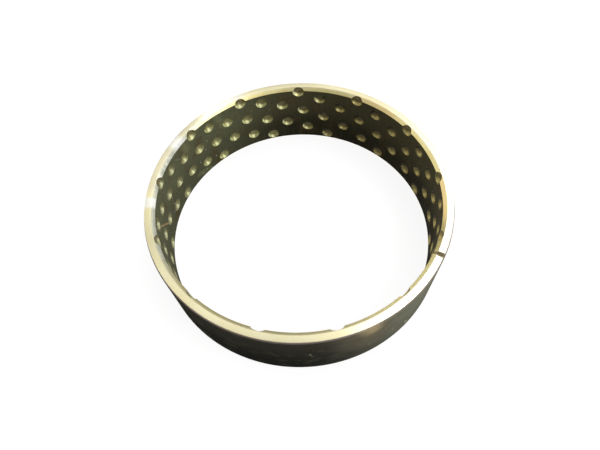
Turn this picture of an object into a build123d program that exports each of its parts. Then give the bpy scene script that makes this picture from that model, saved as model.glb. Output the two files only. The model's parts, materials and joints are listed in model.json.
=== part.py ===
from build123d import *
from math import asin, cos, degrees, pi, radians, sin, tan
import os

# A wrapped plain bush: one bronze strip, rolled up into a ring whose ends butt and are not joined.
# Balls pressed into the flat strip left lubrication pockets in what becomes the bore.
# +Z is the axis of the bore, and the ring stands on its lower end at Z = 0.
# Lengths are millimetres and angles are degrees, counted from +X towards +Y.

# Ring
bore_diameter = 65.0
wall = 2.5
width = 18.0

# Chamfers: a wide one at the bore's upper edge, and a like pair on the outside
inner_chamfer_depth = 0.8       # into the wall, from the bore outwards
inner_chamfer_length = 0.7      # along the axis
lower_bore_break = 0.25         # both ways, on the bore's lower edge
outer_chamfer_length = 0.7      # along the axis
outer_chamfer_angle = 20.0      # off the outside wall

# Butt joint of the strip
joint_gap = 0.6                 # round the middle of the wall
joint_angle = -32.0

# Lubrication pockets, on slanting rows
pocket_diameter = 3.0           # of the mouth
pocket_depth = 1.1              # below the bore
pocket_sides = 8                # flats that stand for the ball's roundness
pockets_per_turn = 13
top_row_inset = 1.02            # from the upper end to the centres of the top row
row_pitch = 2.137               # down the axis, from one row to the next
row_shift = 5.62                # back round the bore, from one row to the next
top_row_angle = 3.5             # of one pocket of the top row

bore_radius = bore_diameter / 2
outer_radius = bore_radius + wall
outer_chamfer_depth = outer_chamfer_length * tan(radians(outer_chamfer_angle))


def wall_section():
    """Return the strip's cross-section, upright at the +X side, as a face."""
    corners = [
        (bore_radius, lower_bore_break),
        (bore_radius + lower_bore_break, 0),
        (outer_radius - outer_chamfer_depth, 0),
        (outer_radius, outer_chamfer_length),
        (outer_radius, width - outer_chamfer_length),
        (outer_radius - outer_chamfer_depth, width),
        (bore_radius + inner_chamfer_depth, width),
        (bore_radius, width - inner_chamfer_length),
    ]
    return Plane.XZ * make_face(Polyline(*corners, close=True))


def rolled_strip():
    """Return the ring as rolled, open at its butt joint."""
    gap_angle = degrees(joint_gap / (bore_radius + wall / 2))
    ring = revolve(wall_section(), axis=Axis.Z, revolution_arc=360 - gap_angle)
    return Rot(Z=joint_angle + gap_angle / 2) * ring


def pocket_punch():
    """Return the tip of a ball, in flat facets, pressed into the bore's +X side at Z = 0."""
    mouth_radius = pocket_diameter / 2
    ball_radius = (mouth_radius**2 + pocket_depth**2) / (2 * pocket_depth)
    ball_centre = bore_radius + pocket_depth - ball_radius
    # The ring halfway from the deepest point to the mouth, both on the ball.
    ring_angle = asin(mouth_radius / ball_radius) / 2
    ring_place = ball_centre + ball_radius * cos(ring_angle)
    ring_radius = ball_radius * sin(ring_angle)
    # The outer facets run on through the mouth, until they are clear of the metal.
    flare = (mouth_radius - ring_radius) / (ring_place - bore_radius)
    rim_place = bore_radius - pocket_depth
    rim_radius = mouth_radius + flare * pocket_depth
    points = [(ball_centre + ball_radius, 0, 0)]
    for place, radius in [(ring_place, ring_radius), (rim_place, rim_radius)]:
        for side in range(pocket_sides):
            turn = 2 * pi * side / pocket_sides
            points.append((place, radius * cos(turn), radius * sin(turn)))
    return ConvexPolyhedron(points)


def pocket_punches():
    """Return a punch for each place on the slanting rows, down to the last whole row."""
    punch = pocket_punch()
    row_count = int((width - top_row_inset - pocket_diameter / 2) / row_pitch) + 1
    row_turn = degrees(row_shift / bore_radius)
    punches = []
    for row in range(row_count):
        height = width - top_row_inset - row * row_pitch
        for place in range(pockets_per_turn):
            angle = top_row_angle - row * row_turn + place * 360 / pockets_per_turn
            punches.append(Pos(Z=height) * Rot(Z=angle) * punch)
    return punches


wrapped_bush = rolled_strip() - pocket_punches()

os.makedirs("parts", exist_ok=True)
export_step(wrapped_bush, "parts/wrapped_bush.step")
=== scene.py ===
import json
from math import acos, asin, ceil, cos, pi, radians, sin, sqrt, tan

import bmesh
import bpy
from mathutils import Matrix, Vector


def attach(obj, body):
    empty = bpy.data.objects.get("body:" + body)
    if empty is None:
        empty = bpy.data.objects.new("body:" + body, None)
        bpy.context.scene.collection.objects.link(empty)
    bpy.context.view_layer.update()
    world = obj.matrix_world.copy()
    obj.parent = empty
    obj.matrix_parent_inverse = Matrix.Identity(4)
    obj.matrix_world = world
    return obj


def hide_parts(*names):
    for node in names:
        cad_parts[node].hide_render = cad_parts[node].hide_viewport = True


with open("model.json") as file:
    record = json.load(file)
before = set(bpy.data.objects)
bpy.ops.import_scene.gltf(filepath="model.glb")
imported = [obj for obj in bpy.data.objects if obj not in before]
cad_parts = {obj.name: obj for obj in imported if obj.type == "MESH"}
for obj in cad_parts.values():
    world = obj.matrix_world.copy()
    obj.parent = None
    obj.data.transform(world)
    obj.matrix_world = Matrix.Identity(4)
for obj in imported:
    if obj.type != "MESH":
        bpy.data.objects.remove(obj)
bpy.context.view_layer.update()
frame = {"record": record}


# ---- Wrapped bush: the strip blank ----------------------------------------------------------
# The bush is one strip of wrought tin bronze, cut to the length that goes once round the bore.
# Its long edges are turned to flat ends with chamfers beside them, and every corner is broken.
# The blank lies along +X, its width along +Z, and the side that becomes the bore faces +Y.

MM = 0.001
mounts = {mount["name"]: mount for mount in frame["record"]["mounts"]}
bore_radius = mounts["bore"]["dims"]["r_mm"] * MM
outer_radius = mounts["outside"]["dims"]["r_mm"] * MM
width = mounts["upper_face"]["pos_m"][2]
wall = outer_radius - bore_radius

bore_chamfer_depth = 0.8 * MM
bore_chamfer_length = 0.7 * MM
lower_bore_break = 0.25 * MM
outer_chamfer_length = 0.7 * MM
outer_chamfer_angle = radians(20)
outer_chamfer_depth = outer_chamfer_length * tan(outer_chamfer_angle)
corner_radius = 0.09 * MM
corner_steps = 3
section_step = 0.75 * MM

joint_gap = 0.6 * MM
gap_angle = joint_gap / (bore_radius + wall / 2)
strip_length = (2 * pi - gap_angle) * bore_radius
end_break = 0.06 * MM
columns = 360

FACE, CHAMFER, FILM, SKIN, SHEARED = range(5)


def strip_section():
    """Corners (y, z) of the strip's section from the bore side round, and the surface after each."""
    corners = [
        (0, width - bore_chamfer_length),
        (-bore_chamfer_depth, width),
        (-wall + outer_chamfer_depth, width),
        (-wall, width - outer_chamfer_length),
        (-wall, outer_chamfer_length),
        (-wall + outer_chamfer_depth, 0),
        (-lower_bore_break, 0),
        (0, lower_bore_break),
    ]
    surfaces = [CHAMFER, FACE, SKIN, SKIN, SKIN, FACE, CHAMFER, FILM]
    return [Vector(corner) for corner in corners], surfaces


def broken_corner(before, corner, after):
    """Points of the small arc that breaks one corner of an outline."""
    back, ahead = (before - corner).normalized(), (after - corner).normalized()
    half_angle = acos(back.dot(ahead)) / 2
    centre = corner + (back + ahead).normalized() * corner_radius / sin(half_angle)
    first = corner + back * corner_radius / tan(half_angle) - centre
    last = corner + ahead * corner_radius / tan(half_angle) - centre
    shares = [step / corner_steps for step in range(corner_steps + 1)]
    return [centre + first.slerp(last, share) * first.length for share in shares]


def section_outline():
    """The section with its corners broken and its sides in short steps, as (point, surface after it)."""
    corners, surfaces = strip_section()
    neighbours = zip(corners[-1:] + corners[:-1], corners, corners[1:] + corners[:1])
    arcs = [broken_corner(*three) for three in neighbours]
    outline = []
    middle = corner_steps / 2
    for index, arc in enumerate(arcs):
        arriving, leaving = surfaces[index - 1], surfaces[index]
        outline += [(point, arriving if step < middle else leaving) for step, point in enumerate(arc[:-1])]
        start, end = arc[-1], arcs[(index + 1) % len(arcs)][0]
        pieces = ceil((end - start).length / section_step)
        outline += [(start.lerp(end, piece / pieces), leaving) for piece in range(pieces)]
    return outline


def strip_blank():
    """The flat strip as one closed mesh, with a material index for each of its surfaces."""
    outline = section_outline()
    middle = Vector((-wall / 2, width / 2))
    stations = [strip_length * column / columns for column in range(1, columns)]
    stations = [0, end_break, *stations, strip_length - end_break, strip_length]
    mesh = bmesh.new()
    rings = []
    for station in stations:
        broken = end_break if station in (0, strip_length) else 0
        shrink = Vector((1 - 2 * broken / wall, 1 - 2 * broken / width))
        section = [middle + (point - middle) * shrink for point, _ in outline]
        rings.append([mesh.verts.new((station, *point)) for point in section])
    for left, right in zip(rings, rings[1:]):
        for index, (_, surface) in enumerate(outline):
            after = (index + 1) % len(outline)
            face = mesh.faces.new((left[index], right[index], right[after], left[after]))
            face.material_index = surface
    for ring in (rings[0], rings[-1]):
        mesh.faces.new(ring).material_index = SHEARED
    bmesh.ops.recalc_face_normals(mesh, faces=mesh.faces)
    data = bpy.data.meshes.new("strip_blank")
    mesh.to_mesh(data)
    mesh.free()
    return data


# ---- Wrapped bush: the pockets --------------------------------------------------------------
# Grease pockets are pressed into the flat strip with a hardened ball, row after row, each row
# set along from the last, and the metal at each mouth rolls over into a small soft lip.

pocket_diameter = 3.0 * MM
pocket_depth = 1.1 * MM
lip_radius = 0.09 * MM
lip_end = radians(14)
lip_flare = 0.5 * MM
punch_sides = 32
ball_steps = 6
lip_steps = 3

pockets_per_turn = 13
top_row_inset = 1.02 * MM
row_pitch = 2.137 * MM
row_shift = 5.62 * MM
rows = int((width - top_row_inset - pocket_diameter / 2) / row_pitch) + 1
top_row_angle = radians(3.5)
crisp_fold = radians(32)


def punch_profile():
    """The punch's side as (distance from its axis, depth below the strip), from its tip up."""
    ball_radius = ((pocket_diameter / 2) ** 2 + pocket_depth**2) / (2 * pocket_depth)
    ball_height = ball_radius - pocket_depth
    lip_reach = sqrt((ball_radius + lip_radius) ** 2 - (ball_height + lip_radius) ** 2)
    meeting = asin(lip_reach / (ball_radius + lip_radius))
    ball = [meeting * step / ball_steps for step in range(ball_steps + 1)]
    lip = [meeting + (lip_end - meeting) * step / lip_steps for step in range(1, lip_steps + 1)]
    profile = [(ball_radius * sin(angle), ball_radius * cos(angle) - ball_height) for angle in ball]
    profile += [(lip_reach - lip_radius * sin(angle), lip_radius * (1 - cos(angle))) for angle in lip]
    reach, depth = profile[-1]
    return profile + [(reach + lip_flare, depth - lip_flare * tan(lip_end))]


def ball_punch():
    """The punch as a closed turned mesh about Y, with its tip towards -Y."""
    profile = punch_profile()
    turns = [2 * pi * side / punch_sides for side in range(punch_sides)]
    mesh = bmesh.new()
    tip = mesh.verts.new((0, -profile[0][1], 0))
    rings = []
    for distance, depth in profile[1:]:
        ring = [(distance * cos(turn), -depth, distance * sin(turn)) for turn in turns]
        rings.append([mesh.verts.new(point) for point in ring])
    for side in range(punch_sides):
        after = (side + 1) % punch_sides
        mesh.faces.new((tip, rings[0][side], rings[0][after]))
        for inner, outer in zip(rings, rings[1:]):
            mesh.faces.new((inner[side], outer[side], outer[after], inner[after]))
    mesh.faces.new(rings[-1])
    bmesh.ops.recalc_face_normals(mesh, faces=mesh.faces)
    data = bpy.data.meshes.new("ball_punch")
    mesh.to_mesh(data)
    mesh.free()
    return data


def add(tree, kind, *values, **settings):
    """Adds a node to a tree, sets its properties, and fills or links its inputs in their order."""
    made = tree.nodes.new(kind)
    for name, value in settings.items():
        setattr(made, name, value)
    for socket, value in zip(made.inputs, values):
        if isinstance(value, bpy.types.NodeSocket):
            tree.links.new(value, socket)
        elif value is not None:
            socket.default_value = value
    return made


def calc(tree, operation, *values, clamp=False):
    """The result of one Math node."""
    return add(tree, "ShaderNodeMath", *values, operation=operation, use_clamp=clamp).outputs[0]


def punch_and_roll(pocket_finish):
    """A node tree that presses the pockets into a flat strip and rolls it round into the bush."""
    tree = bpy.data.node_groups.new("punch_and_roll", "GeometryNodeTree")
    sizes = [
        ("Strip", "NodeSocketGeometry"),
        ("Punch", "NodeSocketObject"),
        ("Bore radius", "NodeSocketFloat"),
        ("Width", "NodeSocketFloat"),
        ("Strip length", "NodeSocketFloat"),
        ("Start angle", "NodeSocketFloat"),
        ("Pocket diameter", "NodeSocketFloat"),
        ("Pockets per turn", "NodeSocketInt"),
        ("Rows", "NodeSocketInt"),
        ("Top row angle", "NodeSocketFloat"),
        ("Top row inset", "NodeSocketFloat"),
        ("Row pitch", "NodeSocketFloat"),
        ("Row shift", "NodeSocketFloat"),
    ]
    for name, kind in sizes:
        tree.interface.new_socket(name, in_out="INPUT", socket_type=kind)
    tree.interface.new_socket("Bush", in_out="OUTPUT", socket_type="NodeSocketGeometry")
    given = tree.nodes.new("NodeGroupInput").outputs
    position = add(tree, "GeometryNodeInputPosition").outputs[0]
    x, y, z = add(tree, "ShaderNodeSeparateXYZ", position).outputs

    # The lattice: places along the strip in each row, with some to spare at both ends. Half is
    # added to a place's number before the row is found, so that rounding can't put it a row back.
    spare = 2
    places = calc(tree, "ADD", given["Pockets per turn"], 2 * spare + 1)
    index = add(tree, "GeometryNodeInputIndex").outputs[0]
    row = calc(tree, "FLOOR", calc(tree, "DIVIDE", calc(tree, "ADD", index, 0.5), places))
    place = calc(tree, "SUBTRACT", calc(tree, "MODULO", index, places), spare)
    spacing = calc(tree, "DIVIDE", 2 * pi, given["Pockets per turn"])
    angle = calc(tree, "MULTIPLY_ADD", place, spacing, given["Top row angle"])
    angle = calc(tree, "SUBTRACT", angle, given["Start angle"])
    along = calc(tree, "MULTIPLY", angle, given["Bore radius"])
    along = calc(tree, "SUBTRACT", along, calc(tree, "MULTIPLY", row, given["Row shift"]))
    down = calc(tree, "MULTIPLY_ADD", row, given["Row pitch"], given["Top row inset"])
    up = calc(tree, "SUBTRACT", given["Width"], down)
    spot = add(tree, "ShaderNodeCombineXYZ", along, 0.0, up).outputs[0]
    count = calc(tree, "MULTIPLY", places, given["Rows"])
    lattice = add(tree, "GeometryNodePoints", count, spot).outputs[0]
    before = calc(tree, "LESS_THAN", x, calc(tree, "MULTIPLY", given["Pocket diameter"], -1.0))
    end = calc(tree, "ADD", given["Strip length"], given["Pocket diameter"])
    missed = calc(tree, "ADD", before, calc(tree, "GREATER_THAN", x, end))
    lattice = add(tree, "GeometryNodeDeleteGeometry", lattice, missed, domain="POINT").outputs[0]

    # The strokes of the punch, all pressed in at once.
    punch = add(tree, "GeometryNodeObjectInfo", given["Punch"], transform_space="ORIGINAL")
    ball = punch.outputs["Geometry"]
    strokes = add(tree, "GeometryNodeInstanceOnPoints", lattice, None, ball).outputs[0]
    strokes = add(tree, "GeometryNodeRealizeInstances", strokes).outputs[0]
    pressed = add(tree, "GeometryNodeMeshBoolean", operation="DIFFERENCE", solver="EXACT")
    tree.links.new(given["Strip"], pressed.inputs["Mesh 1"])
    tree.links.new(strokes, pressed.inputs["Mesh 2"])

    # Each point keeps its place on the flat strip, for the marks in the finishes.
    marked = add(tree, "GeometryNodeStoreNamedAttribute", data_type="FLOAT_VECTOR", domain="POINT")
    tree.links.new(pressed.outputs["Mesh"], marked.inputs["Geometry"])
    marked.inputs["Name"].default_value = "strip_place"
    tree.links.new(position, marked.inputs["Value"])

    # The roll: length along the strip becomes an angle, and depth adds to the bore's radius.
    turn = calc(tree, "ADD", calc(tree, "DIVIDE", x, given["Bore radius"]), given["Start angle"])
    radius = calc(tree, "SUBTRACT", given["Bore radius"], y)
    rolled_x = calc(tree, "MULTIPLY", radius, calc(tree, "COSINE", turn))
    rolled_y = calc(tree, "MULTIPLY", radius, calc(tree, "SINE", turn))
    rolled = add(tree, "ShaderNodeCombineXYZ", rolled_x, rolled_y, z).outputs[0]
    bush = add(tree, "GeometryNodeSetPosition", marked.outputs[0], None, rolled).outputs[0]

    # Corners sharper than the lips and broken edges stay crisp, and the rest is smooth.
    fold = add(tree, "GeometryNodeInputMeshEdgeAngle").outputs[0]
    crisp = calc(tree, "GREATER_THAN", fold, crisp_fold)
    bush = add(tree, "GeometryNodeSetShadeSmooth", bush, None, True, domain="FACE").outputs[0]
    bush = add(tree, "GeometryNodeSetShadeSmooth", bush, crisp, False, domain="EDGE").outputs[0]

    # It leaves as one whole mesh, and the pockets keep the finish that came with the ball.
    whole = add(tree, "GeometryNodeRealizeInstances", bush).outputs[0]
    inside_pocket = add(tree, "GeometryNodeMaterialSelection", pocket_finish).outputs[0]
    finished = add(tree, "GeometryNodeSetMaterial", whole, inside_pocket, pocket_finish).outputs[0]
    tree.links.new(finished, tree.nodes.new("NodeGroupOutput").inputs["Bush"])
    return tree


# ---- Wrapped bush: the finishes -------------------------------------------------------------
# The cut ends are bright turned bronze, with painted highlights, painted glints and painted shade. The
# bore and the outside keep a dark film of oil, thinner and greener where hands reach it, painted lighter
# where the key lamp falls and painted darker low down, as light and shade. The ball has left the pockets
# satin and paler, with painted shade where they face down and painted light where they face up.

# Angles of marks are in degrees round the bush from +X, and their heights and sizes in millimetres.
joint_angle = radians(-32.0)
start_angle = joint_angle + gap_angle / 2


def new_finish(name, metallic, roughness):
    """A material with its Principled shader, and that shader's node tree."""
    material = bpy.data.materials.new(name)
    material.use_nodes = True
    tree = material.node_tree
    shader = tree.nodes["Principled BSDF"]
    shader.inputs["Metallic"].default_value = metallic
    shader.inputs["Roughness"].default_value = roughness
    return material, tree, shader


def blend(tree, factor, first, second):
    """Two colours mixed by a factor."""
    mixed = add(tree, "ShaderNodeMix", data_type="RGBA")
    for name, value in (("Factor_Float", factor), ("A_Color", first), ("B_Color", second)):
        socket = next(socket for socket in mixed.inputs if socket.identifier == name)
        if isinstance(value, bpy.types.NodeSocket):
            tree.links.new(value, socket)
        else:
            socket.default_value = value if name == "Factor_Float" else (*value, 1)
    return next(socket for socket in mixed.outputs if socket.identifier == "Result_Color")


def vector(tree, operation, *values):
    """One Vector Math node."""
    return add(tree, "ShaderNodeVectorMath", *values, operation=operation)


def times(tree, first, second):
    """Two masks multiplied, or a mask weakened by a number."""
    return calc(tree, "MULTIPLY", first, second)


def greatest(tree, mask, *others):
    """The greatest of some masks at each point."""
    for other in others:
        mask = calc(tree, "MAXIMUM", mask, other)
    return mask


def step_between(tree, value, low, high, low_result=0.0, high_result=1.0):
    """A smooth step of a value from one result to another. The high end may lie below the low one."""
    ranged = add(tree, "ShaderNodeMapRange", value, low, high, low_result, high_result)
    ranged.interpolation_type = "SMOOTHSTEP"
    return ranged.outputs[0]


def place_on_strip(tree):
    """The point's place on the flat strip, and its length along, its depth and its height there."""
    place = add(tree, "ShaderNodeAttribute", attribute_name="strip_place").outputs["Vector"]
    along, depth, height = add(tree, "ShaderNodeSeparateXYZ", place).outputs
    return place, along, calc(tree, "MULTIPLY", depth, -1.0), height


def along_strip(angle):
    """The length along the strip of what lies at an angle round the bush."""
    return (radians(angle) - start_angle) % (2 * pi) * bore_radius


def turn_between(tree, along, low, high, low_result=0.0, high_result=1.0):
    """A smooth step from one angle round the bush to another."""
    return step_between(tree, along, along_strip(low), along_strip(high), low_result, high_result)


def stretch(tree, along, start, full, fading, end):
    """A stretch of the bush that starts at one angle, is full between two more, and ends at a fourth."""
    return times(tree, turn_between(tree, along, start, full), turn_between(tree, along, end, fading))


def far_side(tree, along, start, full):
    """The side across from the joint: from 0 at a start angle to 1, and slowly back to 0 by the joint."""
    return stretch(tree, along, start, full, 190, 310)


def haze_and_lit_side(tree, along):
    """How much light dust lies on the bore across from the joint, which is also where its colour is
    painted lighter as painted light.
    """
    return far_side(tree, along, 86, 126)


def stretched_noise(tree, place, size, detail=3.0, roughness=0.55):
    """Noise whose features have their own size in each direction."""
    scaled = vector(tree, "DIVIDE", place, [side * MM for side in size]).outputs[0]
    return add(tree, "ShaderNodeTexNoise", scaled, None, 1.0, detail, roughness).outputs[0]


def wavered(tree, length, clouds, reach):
    """A length shifted to and fro by clouds, so that what follows it gets an uneven edge."""
    return calc(tree, "ADD", length, times(tree, calc(tree, "SUBTRACT", clouds, 0.5), reach * MM))


def stroke(tree, place, start, end, half_width, softness):
    """How far a soft mark from one (angle, height) to another covers the point, from 0 to 1."""
    first, last = [Vector((along_strip(angle), 0, height * MM)) for angle, height in (start, end)]
    line = last - first
    on_surface = vector(tree, "MULTIPLY", place, (1, 0, 1)).outputs[0]
    from_first = vector(tree, "SUBTRACT", on_surface, first).outputs[0]
    # A mark may be a single spot, so its length is kept above nothing.
    share = vector(tree, "DOT_PRODUCT", from_first, line / max(line.length_squared, 1e-12))
    share = calc(tree, "MULTIPLY", share.outputs["Value"], 1.0, clamp=True)
    nearest = add(tree, "ShaderNodeVectorMath", line, None, None, share, operation="SCALE").outputs[0]
    gap = vector(tree, "DISTANCE", from_first, nearest).outputs["Value"]
    inside, outside = half_width * (1 - softness) * MM, half_width * (1 + softness) * MM
    return step_between(tree, gap, outside, inside)


def flecks(tree, place, spots, radius, softness):
    """Single round specks, each at its own (angle, height)."""
    return greatest(tree, *(stroke(tree, place, spot, spot, radius, softness) for spot in spots))


def dust(tree, place, spacing, radius, share):
    """Small round specks, one at most in each cell of a grid, in the given share of the cells."""
    cells = add(tree, "ShaderNodeTexVoronoi", place, None, 1 / (spacing * MM), voronoi_dimensions="3D")
    near = calc(tree, "LESS_THAN", cells.outputs["Distance"], radius / spacing)
    drawn = add(tree, "ShaderNodeSeparateColor", cells.outputs["Color"]).outputs[0]
    return times(tree, near, calc(tree, "LESS_THAN", drawn, share))


def turning_marks(tree, size, detail=2.0):
    """Noise that only changes with distance from the axis, as tool marks on a turned face do."""
    place = add(tree, "ShaderNodeTexCoord").outputs["Object"]
    level = vector(tree, "MULTIPLY", place, (1, 1, 0)).outputs[0]
    radius = vector(tree, "LENGTH", level).outputs["Value"]
    noise = add(tree, "ShaderNodeTexNoise", None, calc(tree, "DIVIDE", radius, size * MM), 1.0, detail)
    noise.noise_dimensions = "1D"
    return noise.outputs[0]


def turned_tone(tree, place, marks, marks_share, cloud_size):
    """The tone of turned bronze, from 0 to 1: its tool marks, mixed with soft clouds."""
    clouds = stretched_noise(tree, place, (cloud_size, cloud_size, cloud_size))
    tone = calc(tree, "ADD", times(tree, marks, marks_share), times(tree, clouds, 1 - marks_share))
    return step_between(tree, tone, 0.35, 0.65)


def raise_marks(tree, shader, marks, strength, height):
    """Gives marks a height on the surface, in millimetres."""
    bump = add(tree, "ShaderNodeBump", strength, height * MM)
    tree.links.new(marks, bump.inputs["Height"])
    tree.links.new(bump.outputs[0], shader.inputs["Normal"])


def turn_grooves(tree, shader, marks):
    """Stretches the shine across the tool's grooves, and raises them."""
    shader.inputs["Anisotropic"].default_value = 1.0
    shader.inputs["Anisotropic Rotation"].default_value = 0.25
    tangent = add(tree, "ShaderNodeTangent", direction_type="RADIAL", axis="Z")
    tree.links.new(tangent.outputs[0], shader.inputs["Tangent"])
    raise_marks(tree, shader, marks, 0.25, 0.02)


def oil(shader, weight):
    """Makes a film matt, with a faint sheen of oil over it."""
    shader.inputs["Specular IOR Level"].default_value = 0.0
    shader.inputs["Coat Weight"].default_value = weight
    shader.inputs["Coat Roughness"].default_value = 0.35


def painted_glints(tree, place):
    """Two painted glints: short stretches of the upper rim painted whiter than the rest, where lamps
    glint.
    """
    left = stroke(tree, place, (180.2, 17.0), (180.2, 18.0), 1.3, 0.4)
    back_left = stroke(tree, place, (148.8, 17.0), (149.6, 18.0), 1.7, 0.6)
    return greatest(tree, left, times(tree, back_left, 0.85))


def face_finish():
    """The flat ends: pale turned bronze with fine rings, painted paler as a highlight on the joint's side
    and on a short stretch at the back left, painted duller as shade beside that stretch, with two painted
    glints on the rim, and browned along the joint's edges."""
    material, tree, shader = new_finish("turned_face", 1.0, 0.33)
    place, along, *_ = place_on_strip(tree)
    rings = turning_marks(tree, 0.16)
    tone = turned_tone(tree, place, rings, 0.45, 5)
    colour = blend(tree, tone, (0.93, 0.85, 0.52), (0.97, 0.90, 0.60))
    # Painted highlight: the joint's side and a short stretch at the back left are painted paler, where the
    # lamps glint on the turned face.
    paler = greatest(
        tree,
        turn_between(tree, along, 72, -10, 0.0, 0.7),
        turn_between(tree, along, 276, 300, 0.0, 0.7),
        stroke(tree, place, (119.5, 17), (126.5, 17), 4.5, 0.6),
    )
    colour = blend(tree, paler, colour, (0.97, 0.93, 0.80))
    # Painted shade: the stretch beside it is painted duller.
    colour = blend(tree, stretch(tree, along, 130, 138, 171, 178), colour, (0.78, 0.72, 0.50))
    # Painted highlight: the two glints on the rim.
    colour = blend(tree, painted_glints(tree, place), colour, (1.0, 0.99, 0.90))
    browned = greatest(
        tree,
        step_between(tree, along, 0.18 * MM, 0.08 * MM),
        step_between(tree, along, strip_length - 0.42 * MM, strip_length - 0.30 * MM),
    )
    colour = blend(tree, browned, colour, (0.17, 0.14, 0.085))
    tree.links.new(colour, shader.inputs["Base Color"])
    turn_grooves(tree, shader, rings)
    return material


def chamfer_finish():
    """The bore's chamfers: golden turned bronze, grey and blotched across from the joint, painted darker
    at the front as shade, paler by the end face, with two warm stretches, a darker one beside the joint
    and two painted glints on the rim."""
    material, tree, shader = new_finish("turned_chamfer", 0.7, 0.36)
    place, along, depth, _ = place_on_strip(tree)
    rings = turning_marks(tree, 0.12)
    tone = turned_tone(tree, place, rings, 0.4, 3)
    golden = blend(tree, tone, (0.88, 0.73, 0.29), (0.97, 0.88, 0.45))
    grey = blend(tree, tone, (0.40, 0.43, 0.35), (0.76, 0.75, 0.60))
    greyed = stretch(tree, along, 120, 150, 200, 228)
    colour = blend(tree, greyed, golden, grey)
    blotches = step_between(tree, stretched_noise(tree, place, (2.2, 3, 3)), 0.46, 0.64)
    blotches = times(tree, blotches, turn_between(tree, along, 182, 165))
    colour = blend(tree, times(tree, blotches, greyed), colour, (0.97, 0.98, 0.90))
    # Painted shade: the chamfer is painted darker at the front.
    painted_front_shade = turn_between(tree, along, 200, 228)
    painted_front_shade = times(tree, painted_front_shade, turn_between(tree, along, 320, 255, 0.0, 0.6))
    colour = blend(tree, painted_front_shade, colour, (0.26, 0.23, 0.10))
    by_face = step_between(tree, depth, 0.3 * MM, 0.85 * MM, 0.0, 0.6)
    colour = blend(tree, by_face, colour, (0.95, 0.90, 0.66))
    warm = greatest(
        tree,
        stroke(tree, place, (41, 17.6), (57, 17.6), 1.6, 0.9),
        stroke(tree, place, (-16, 17.6), (1, 17.6), 1.6, 0.9),
    )
    colour = blend(tree, times(tree, warm, 0.85), colour, (1.0, 0.78, 0.36))
    by_joint = stroke(tree, place, (-31, 17.6), (-22, 17.6), 2.5, 0.9)
    colour = blend(tree, times(tree, by_joint, 0.5), colour, (0.45, 0.34, 0.10))
    # Painted highlight: the same two glints, on the chamfer.
    colour = blend(tree, painted_glints(tree, place), colour, (1.0, 1.0, 0.95))
    tree.links.new(colour, shader.inputs["Base Color"])
    turn_grooves(tree, shader, rings)
    return material


def film_finish():
    """The bore's film: brown black, lighter olive and dusty across from the joint, where it is also
    painted light, painted darker low down as shade, with brown clouds, streaks, smudges partly painted as
    sheen, a hair-thin light mark, a dark mottle and dust."""
    material, tree, shader = new_finish("bore_film", 0.0, 0.5)
    place, along, _, height = place_on_strip(tree)
    hazed_and_lit = haze_and_lit_side(tree, along)
    # Across from the joint the film is lighter and greener: partly light dust, partly painted light where
    # the key lamp falls.
    colour = blend(tree, hazed_and_lit, (0.092, 0.084, 0.044), (0.138, 0.143, 0.080))
    # Painted shade: the film is painted darker towards the bottom of the bore.
    low = step_between(tree, height, 13 * MM, 4 * MM, 0.0, 0.6)
    low = times(tree, low, calc(tree, "SUBTRACT", 1.0, times(tree, hazed_and_lit, 0.65)))
    colour = blend(tree, low, colour, (0.0, 0.0, 0.0))
    clouds = step_between(tree, stretched_noise(tree, place, (5, 5, 6)), 0.50, 0.72, 0.0, 0.7)
    colour = blend(tree, clouds, colour, (0.105, 0.075, 0.035))
    streaks = step_between(tree, stretched_noise(tree, place, (0.35, 1, 5)), 0.45, 0.75, 0.0, 0.22)
    colour = blend(tree, streaks, colour, (0.19, 0.18, 0.11))
    # Lighter olive smudges down from the rim; the two under the rim's glints are painted sheen, the low
    # one a smudge.
    smears_and_sheen = greatest(
        tree,
        stroke(tree, place, (127, 17.2), (125, 13.0), 0.9, 0.9),
        stroke(tree, place, (149, 17.4), (147, 14.5), 1.0, 0.9),
        stroke(tree, place, (145, 2.4), (138, 1.2), 0.7, 0.9),
    )
    colour = blend(tree, times(tree, smears_and_sheen, 0.5), colour, (0.26, 0.27, 0.13))
    hair_mark = stroke(tree, place, (191.5, 16.7), (175.0, 4.4), 0.2, 0.5)
    colour = blend(tree, hair_mark, colour, (0.42, 0.30, 0.15))
    mottle = step_between(tree, stretched_noise(tree, place, (0.7, 0.7, 0.9)), 0.45, 0.30, 0.0, 0.45)
    colour = blend(tree, mottle, colour, (0.025, 0.022, 0.012))
    spots = [(135, 11.1), (132.3, 3.6), (142, 6.0), (153, 14.4), (142.3, 1.4), (169.5, 4.3)]
    specks = times(tree, dust(tree, place, 1.7, 0.17, 0.4), hazed_and_lit)
    specks = greatest(tree, specks, flecks(tree, place, spots, 0.17, 0.4))
    colour = blend(tree, times(tree, specks, 0.8), colour, (0.60, 0.62, 0.50))
    tree.links.new(colour, shader.inputs["Base Color"])
    oil(shader, 0.05)
    return material


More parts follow.
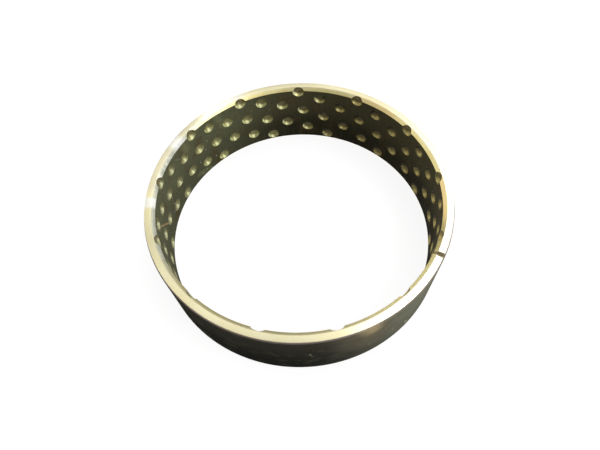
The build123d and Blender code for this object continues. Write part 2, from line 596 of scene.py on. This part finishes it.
def pocket_finish():
    """The pockets: satin bronze, greener and lighter across from the joint, partly as painted light, then
    duller, brown at the bottom, with painted shade in the film's colour where they face down, painted
    light where they face up, and a painted highlight on one side of each at the back."""
    material, tree, shader = new_finish("pocket_bronze", 0.75, 0.45)
    place, along, depth, height = place_on_strip(tree)
    # Across from the joint the pockets are greener and lighter: a greener tone, partly painted light where
    # the key lamp falls.
    greened = far_side(tree, along, 62, 112)
    bronze = blend(tree, greened, (0.57, 0.48, 0.19), (0.69, 0.69, 0.35))
    dulled = times(tree, far_side(tree, along, 130, 165), 0.65)
    bronze = blend(tree, dulled, bronze, (0.26, 0.26, 0.17))
    clouds = stretched_noise(tree, place, (1.2, 1.2, 1.2))
    brown = step_between(tree, wavered(tree, depth, clouds, 0.5), 0.4 * MM, 0.85 * MM)
    brown = times(tree, brown, calc(tree, "MULTIPLY_ADD", haze_and_lit_side(tree, along), -0.35, 0.85))
    bronze = blend(tree, brown, bronze, (0.18, 0.135, 0.055))
    point = add(tree, "ShaderNodeTexCoord").outputs
    round_bore = vector(tree, "CROSS_PRODUCT", (0.0, 0.0, 1.0), point["Object"])
    round_bore = vector(tree, "NORMALIZE", round_bore.outputs[0])
    side = vector(tree, "DOT_PRODUCT", point["Normal"], round_bore.outputs[0]).outputs["Value"]
    # Painted highlight: a pale crescent on one side of each pocket, near its mouth, at the back of the
    # bore.
    painted_crescent = step_between(tree, side, -0.35, -0.7)
    painted_crescent = times(tree, painted_crescent, step_between(tree, depth, 0.75 * MM, 0.4 * MM))
    painted_crescent = times(tree, painted_crescent, stretch(tree, along, 64, 90, 115, 150))
    bronze = blend(tree, painted_crescent, bronze, (0.93, 0.97, 0.63))
    # Painted shade: this film colour stands for the shade where the pockets face down, and it is lighter
    # across from the joint as painted light.
    film = blend(tree, greened, (0.025, 0.022, 0.011), (0.20, 0.185, 0.085))
    top_row = step_between(tree, height, 15.4 * MM, 16.6 * MM, 0.0, 0.8)
    film = blend(tree, top_row, film, (0.20, 0.16, 0.075))
    # Painted light and shade: faces that look up show the bronze, and faces that look down show the film
    # colour.
    upward = add(tree, "ShaderNodeSeparateXYZ", point["Normal"]).outputs["Z"]
    painted_light_by_facing = step_between(tree, calc(tree, "ADD", upward, times(tree, painted_crescent, 0.75)), 0.0, 0.7)
    tree.links.new(blend(tree, painted_light_by_facing, film, bronze), shader.inputs["Base Color"])
    return material


def skin_finish():
    """The outside: a near-black film, painted lighter upwards, with grey green dust on the joint's side
    that is also painted light, a tan patch and a paler stained spot in it that is partly a painted
    highlight, a faint mottle, a few specks and a paler upper edge."""
    material, tree, shader = new_finish("outer_film", 0.0, 0.5)
    place, along, _, height = place_on_strip(tree)
    # Painted light and shade: the film is painted lighter towards the top and darker towards the bottom.
    painted_light_up = step_between(tree, height, 3 * MM, 16 * MM)
    colour = blend(tree, painted_light_up, (0.016, 0.016, 0.012), (0.055, 0.051, 0.036))
    # Grey green dust on the joint's side, which is also painted light where the key lamp falls.
    uneven = wavered(tree, along, stretched_noise(tree, place, (4, 4, 4)), 8)
    dust_and_lit_side = greatest(tree, turn_between(tree, uneven, 268, 312), turn_between(tree, uneven, 30, -25))
    dust_and_lit_side = times(tree, dust_and_lit_side, step_between(tree, height, 0.0, 14 * MM, 0.75, 1.0))
    colour = blend(tree, dust_and_lit_side, colour, (0.26, 0.26, 0.19))
    tanned = stroke(tree, place, (289.0, 17.0), (292.0, 11.0), 4.5, 0.9)
    colour = blend(tree, times(tree, tanned, 0.35), colour, (0.31, 0.25, 0.15))
    # A paler stained spot under the rim, partly a painted highlight spilling over from the end face.
    stain_and_highlight = stroke(tree, place, (290.4, 17.8), (292.0, 15.6), 1.7, 0.95)
    colour = blend(tree, times(tree, stain_and_highlight, 0.85), colour, (0.68, 0.53, 0.30))
    mottle = stretched_noise(tree, place, (3.5, 3.5, 2.5), 1.0)
    mottle = step_between(tree, mottle, 0.48, 0.70, 0.0, 0.28)
    colour = blend(tree, mottle, colour, (0.13, 0.12, 0.085))
    grain = step_between(tree, stretched_noise(tree, place, (0.5, 0.5, 0.5)), 0.5, 0.8, 0.0, 0.4)
    colour = blend(tree, grain, colour, (0.16, 0.15, 0.11))
    faint = flecks(tree, place, [(291.7, 6.6), (301.7, 7.1)], 0.3, 0.6)
    specks = greatest(
        tree,
        dust(tree, place, 2.2, 0.16, 0.02),
        flecks(tree, place, [(270.5, 10.25)], 0.27, 0.5),
        stroke(tree, place, (308.5, 4.6), (309.5, 3.4), 0.25, 0.5),
        times(tree, faint, 0.35),
    )
    colour = blend(tree, times(tree, specks, 0.9), colour, (0.56, 0.54, 0.34))
    # A paler line along the upper edge.
    pale_upper_edge = step_between(tree, height, width - 0.7 * MM, width - 0.2 * MM)
    pale_upper_edge = times(tree, pale_upper_edge, turn_between(tree, along, 230, 252, 0.9, 0.5))
    colour = blend(tree, pale_upper_edge, colour, (0.48, 0.38, 0.34))
    tree.links.new(colour, shader.inputs["Base Color"])
    oil(shader, 0.025)
    return material


def sheared_finish():
    """The strip's two sheared ends, which face each other in the joint: plain bronze with the
    shear's upright scores."""
    material, tree, shader = new_finish("sheared_bronze", 0.6, 0.5)
    place, *_ = place_on_strip(tree)
    scores = stretched_noise(tree, place, (1, 0.12, 3))
    colour = blend(tree, step_between(tree, scores, 0.35, 0.65), (0.52, 0.44, 0.29), (0.84, 0.75, 0.55))
    tree.links.new(colour, shader.inputs["Base Color"])
    raise_marks(tree, shader, scores, 0.3, 0.03)
    return material


# ---- Wrapped bush: pressed, rolled and finished ---------------------------------------------
# The pressed strip is rolled until its two sheared ends almost meet, and the butt joint is left
# open, to close when the bush goes into its housing. Each of its surfaces has its own finish.

scene = bpy.context.scene
pocket_bronze = pocket_finish()
blank = bpy.data.objects.new("strip_blank", strip_blank())
for finish in (face_finish(), chamfer_finish(), film_finish(), skin_finish(), sheared_finish()):
    blank.data.materials.append(finish)
punch = bpy.data.objects.new("ball_punch", ball_punch())
punch.data.materials.append(pocket_bronze)
for piece in (blank, punch):
    scene.collection.objects.link(piece)

strip_sizes = {
    "Punch": punch,
    "Bore radius": bore_radius,
    "Width": width,
    "Strip length": strip_length,
    "Start angle": start_angle,
    "Pocket diameter": pocket_diameter,
    "Pockets per turn": pockets_per_turn,
    "Rows": rows,
    "Top row angle": top_row_angle,
    "Top row inset": top_row_inset,
    "Row pitch": row_pitch,
    "Row shift": row_shift,
}
rolling = blank.modifiers.new("punch and roll", "NODES")
rolling.node_group = punch_and_roll(pocket_bronze)
for socket in rolling.node_group.interface.items_tree:
    if socket.name in strip_sizes:
        rolling[socket.identifier] = strip_sizes[socket.name]
bpy.context.view_layer.update()
rolled = blank.evaluated_get(bpy.context.evaluated_depsgraph_get())
bush = bpy.data.objects.new("rolled_bush", bpy.data.meshes.new_from_object(rolled))
scene.collection.objects.link(bush)
for piece in (blank, punch):
    bpy.data.objects.remove(piece)
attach(bush, "root")
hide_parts("wrapped_bush")


# ---- Studio: table --------------------------------------------------------------------------
# A plain pale table top, wide enough to fill every view. It shows the eye and reflections a pale
# glow that lights nothing else, and its grey paint keeps the shadow of the bush.

table_reach = 3.0
table_mesh = bpy.data.meshes.new("table_top")
corners = [(x * table_reach, y * table_reach, 0) for x, y in ((-1, -1), (1, -1), (1, 1), (-1, 1))]
table_mesh.from_pydata(corners, [], [(0, 1, 2, 3)])
table = bpy.data.objects.new("table_top", table_mesh)
scene.collection.objects.link(table)
table_glow = 0.87
table_paint, tree, shader = new_finish("table_white", 0.0, 0.9)
shader.inputs["Base Color"].default_value = (0.22, 0.22, 0.22, 1)
shader.inputs["Specular IOR Level"].default_value = 0.0
shader.inputs["Emission Color"].default_value = (1, 1, 1, 1)
path = add(tree, "ShaderNodeLightPath").outputs
reflected = calc(tree, "ADD", path["Is Glossy Ray"], path["Is Transmission Ray"])
seen = calc(tree, "ADD", path["Is Camera Ray"], reflected, clamp=True)
tree.links.new(times(tree, seen, table_glow), shader.inputs["Emission Strength"])
table.data.materials.append(table_paint)


# ---- Studio: light --------------------------------------------------------------------------
# Soft boxes round the bush and one small lamp behind it, in an even room. The room looks white
# and gives only a little light.

room_light = 0.22
room = bpy.data.worlds.new("studio_room")
room.use_nodes = True
tree = room.node_tree
background = tree.nodes["Background"]
path = add(tree, "ShaderNodeLightPath").outputs
background.inputs["Color"].default_value = (1, 1, 1, 1)
strength = add(tree, "ShaderNodeMapRange", path["Is Camera Ray"], 0.0, 1.0, room_light, 1.0).outputs[0]
tree.links.new(strength, background.inputs["Strength"])
scene.world = room
scene.view_settings.view_transform = "Standard"


def soft_box(name, azimuth, elevation, distance, breadth, height, brightness, colour=(1, 1, 1)):
    """A rectangular soft box that faces the bush from an angle round and an angle up, in degrees,
    and a distance in metres. Its brightness is its radiance, where 1 is white."""
    light = bpy.data.lights.new(name, "AREA")
    light.shape = "RECTANGLE"
    light.size = breadth
    light.size_y = height
    light.energy = brightness * pi * breadth * height
    light.color = colour
    lamp = bpy.data.objects.new(name, light)
    turn, tilt = radians(azimuth), radians(elevation)
    away = Vector((cos(turn) * cos(tilt), sin(turn) * cos(tilt), sin(tilt)))
    lamp.location = away * distance
    lamp.rotation_euler = away.to_track_quat("Z", "Y").to_euler()
    scene.collection.objects.link(lamp)


soft_box("key_box", -29, 38.5, 1.0, 0.53, 1.23, 2.9)
soft_box("front_box", -66, 53, 1.0, 0.40, 0.35, 1.2)
soft_box("back_right_box", 56.5, 53, 1.0, 0.89, 0.93, 1.05)
soft_box("right_box", 59, 57, 1.0, 0.32, 0.32, 2.3)
soft_box("top_box", 94, 78, 1.0, 1.4, 0.55, 0.9)
soft_box("left_box", 160, 20, 1.0, 1.2, 0.75, 1.0, (1.0, 0.95, 0.82))
soft_box("back_lamp", 102.5, 44, 1.0, 0.03, 0.03, 30.0)


# ---- Studio: camera -------------------------------------------------------------------------
# It stands close in front of the bush, a little rolled, and looks down into the bore. Its lens
# is short, so the far side of the ring draws in.

camera_height_angle = radians(59.416)
camera_roll = radians(-3.887)
camera_distance = 115.03 * MM
look_at = Vector((0, -3.41, 9.0)) * MM
camera_data = bpy.data.cameras.new("camera")
camera_data.lens = 28.818
camera_data.sensor_width = 36
camera_data.clip_start = 5 * MM
camera = bpy.data.objects.new("camera", camera_data)
scene.collection.objects.link(camera)
away = Vector((0, -cos(camera_height_angle), sin(camera_height_angle)))
level = Matrix((Vector((1, 0, 0)), away.cross(Vector((1, 0, 0))), away)).transposed()
turned = (level @ Matrix.Rotation(camera_roll, 3, "Z")).to_4x4()
camera.matrix_world = Matrix.Translation(look_at + away * camera_distance) @ turned
scene.camera = camera
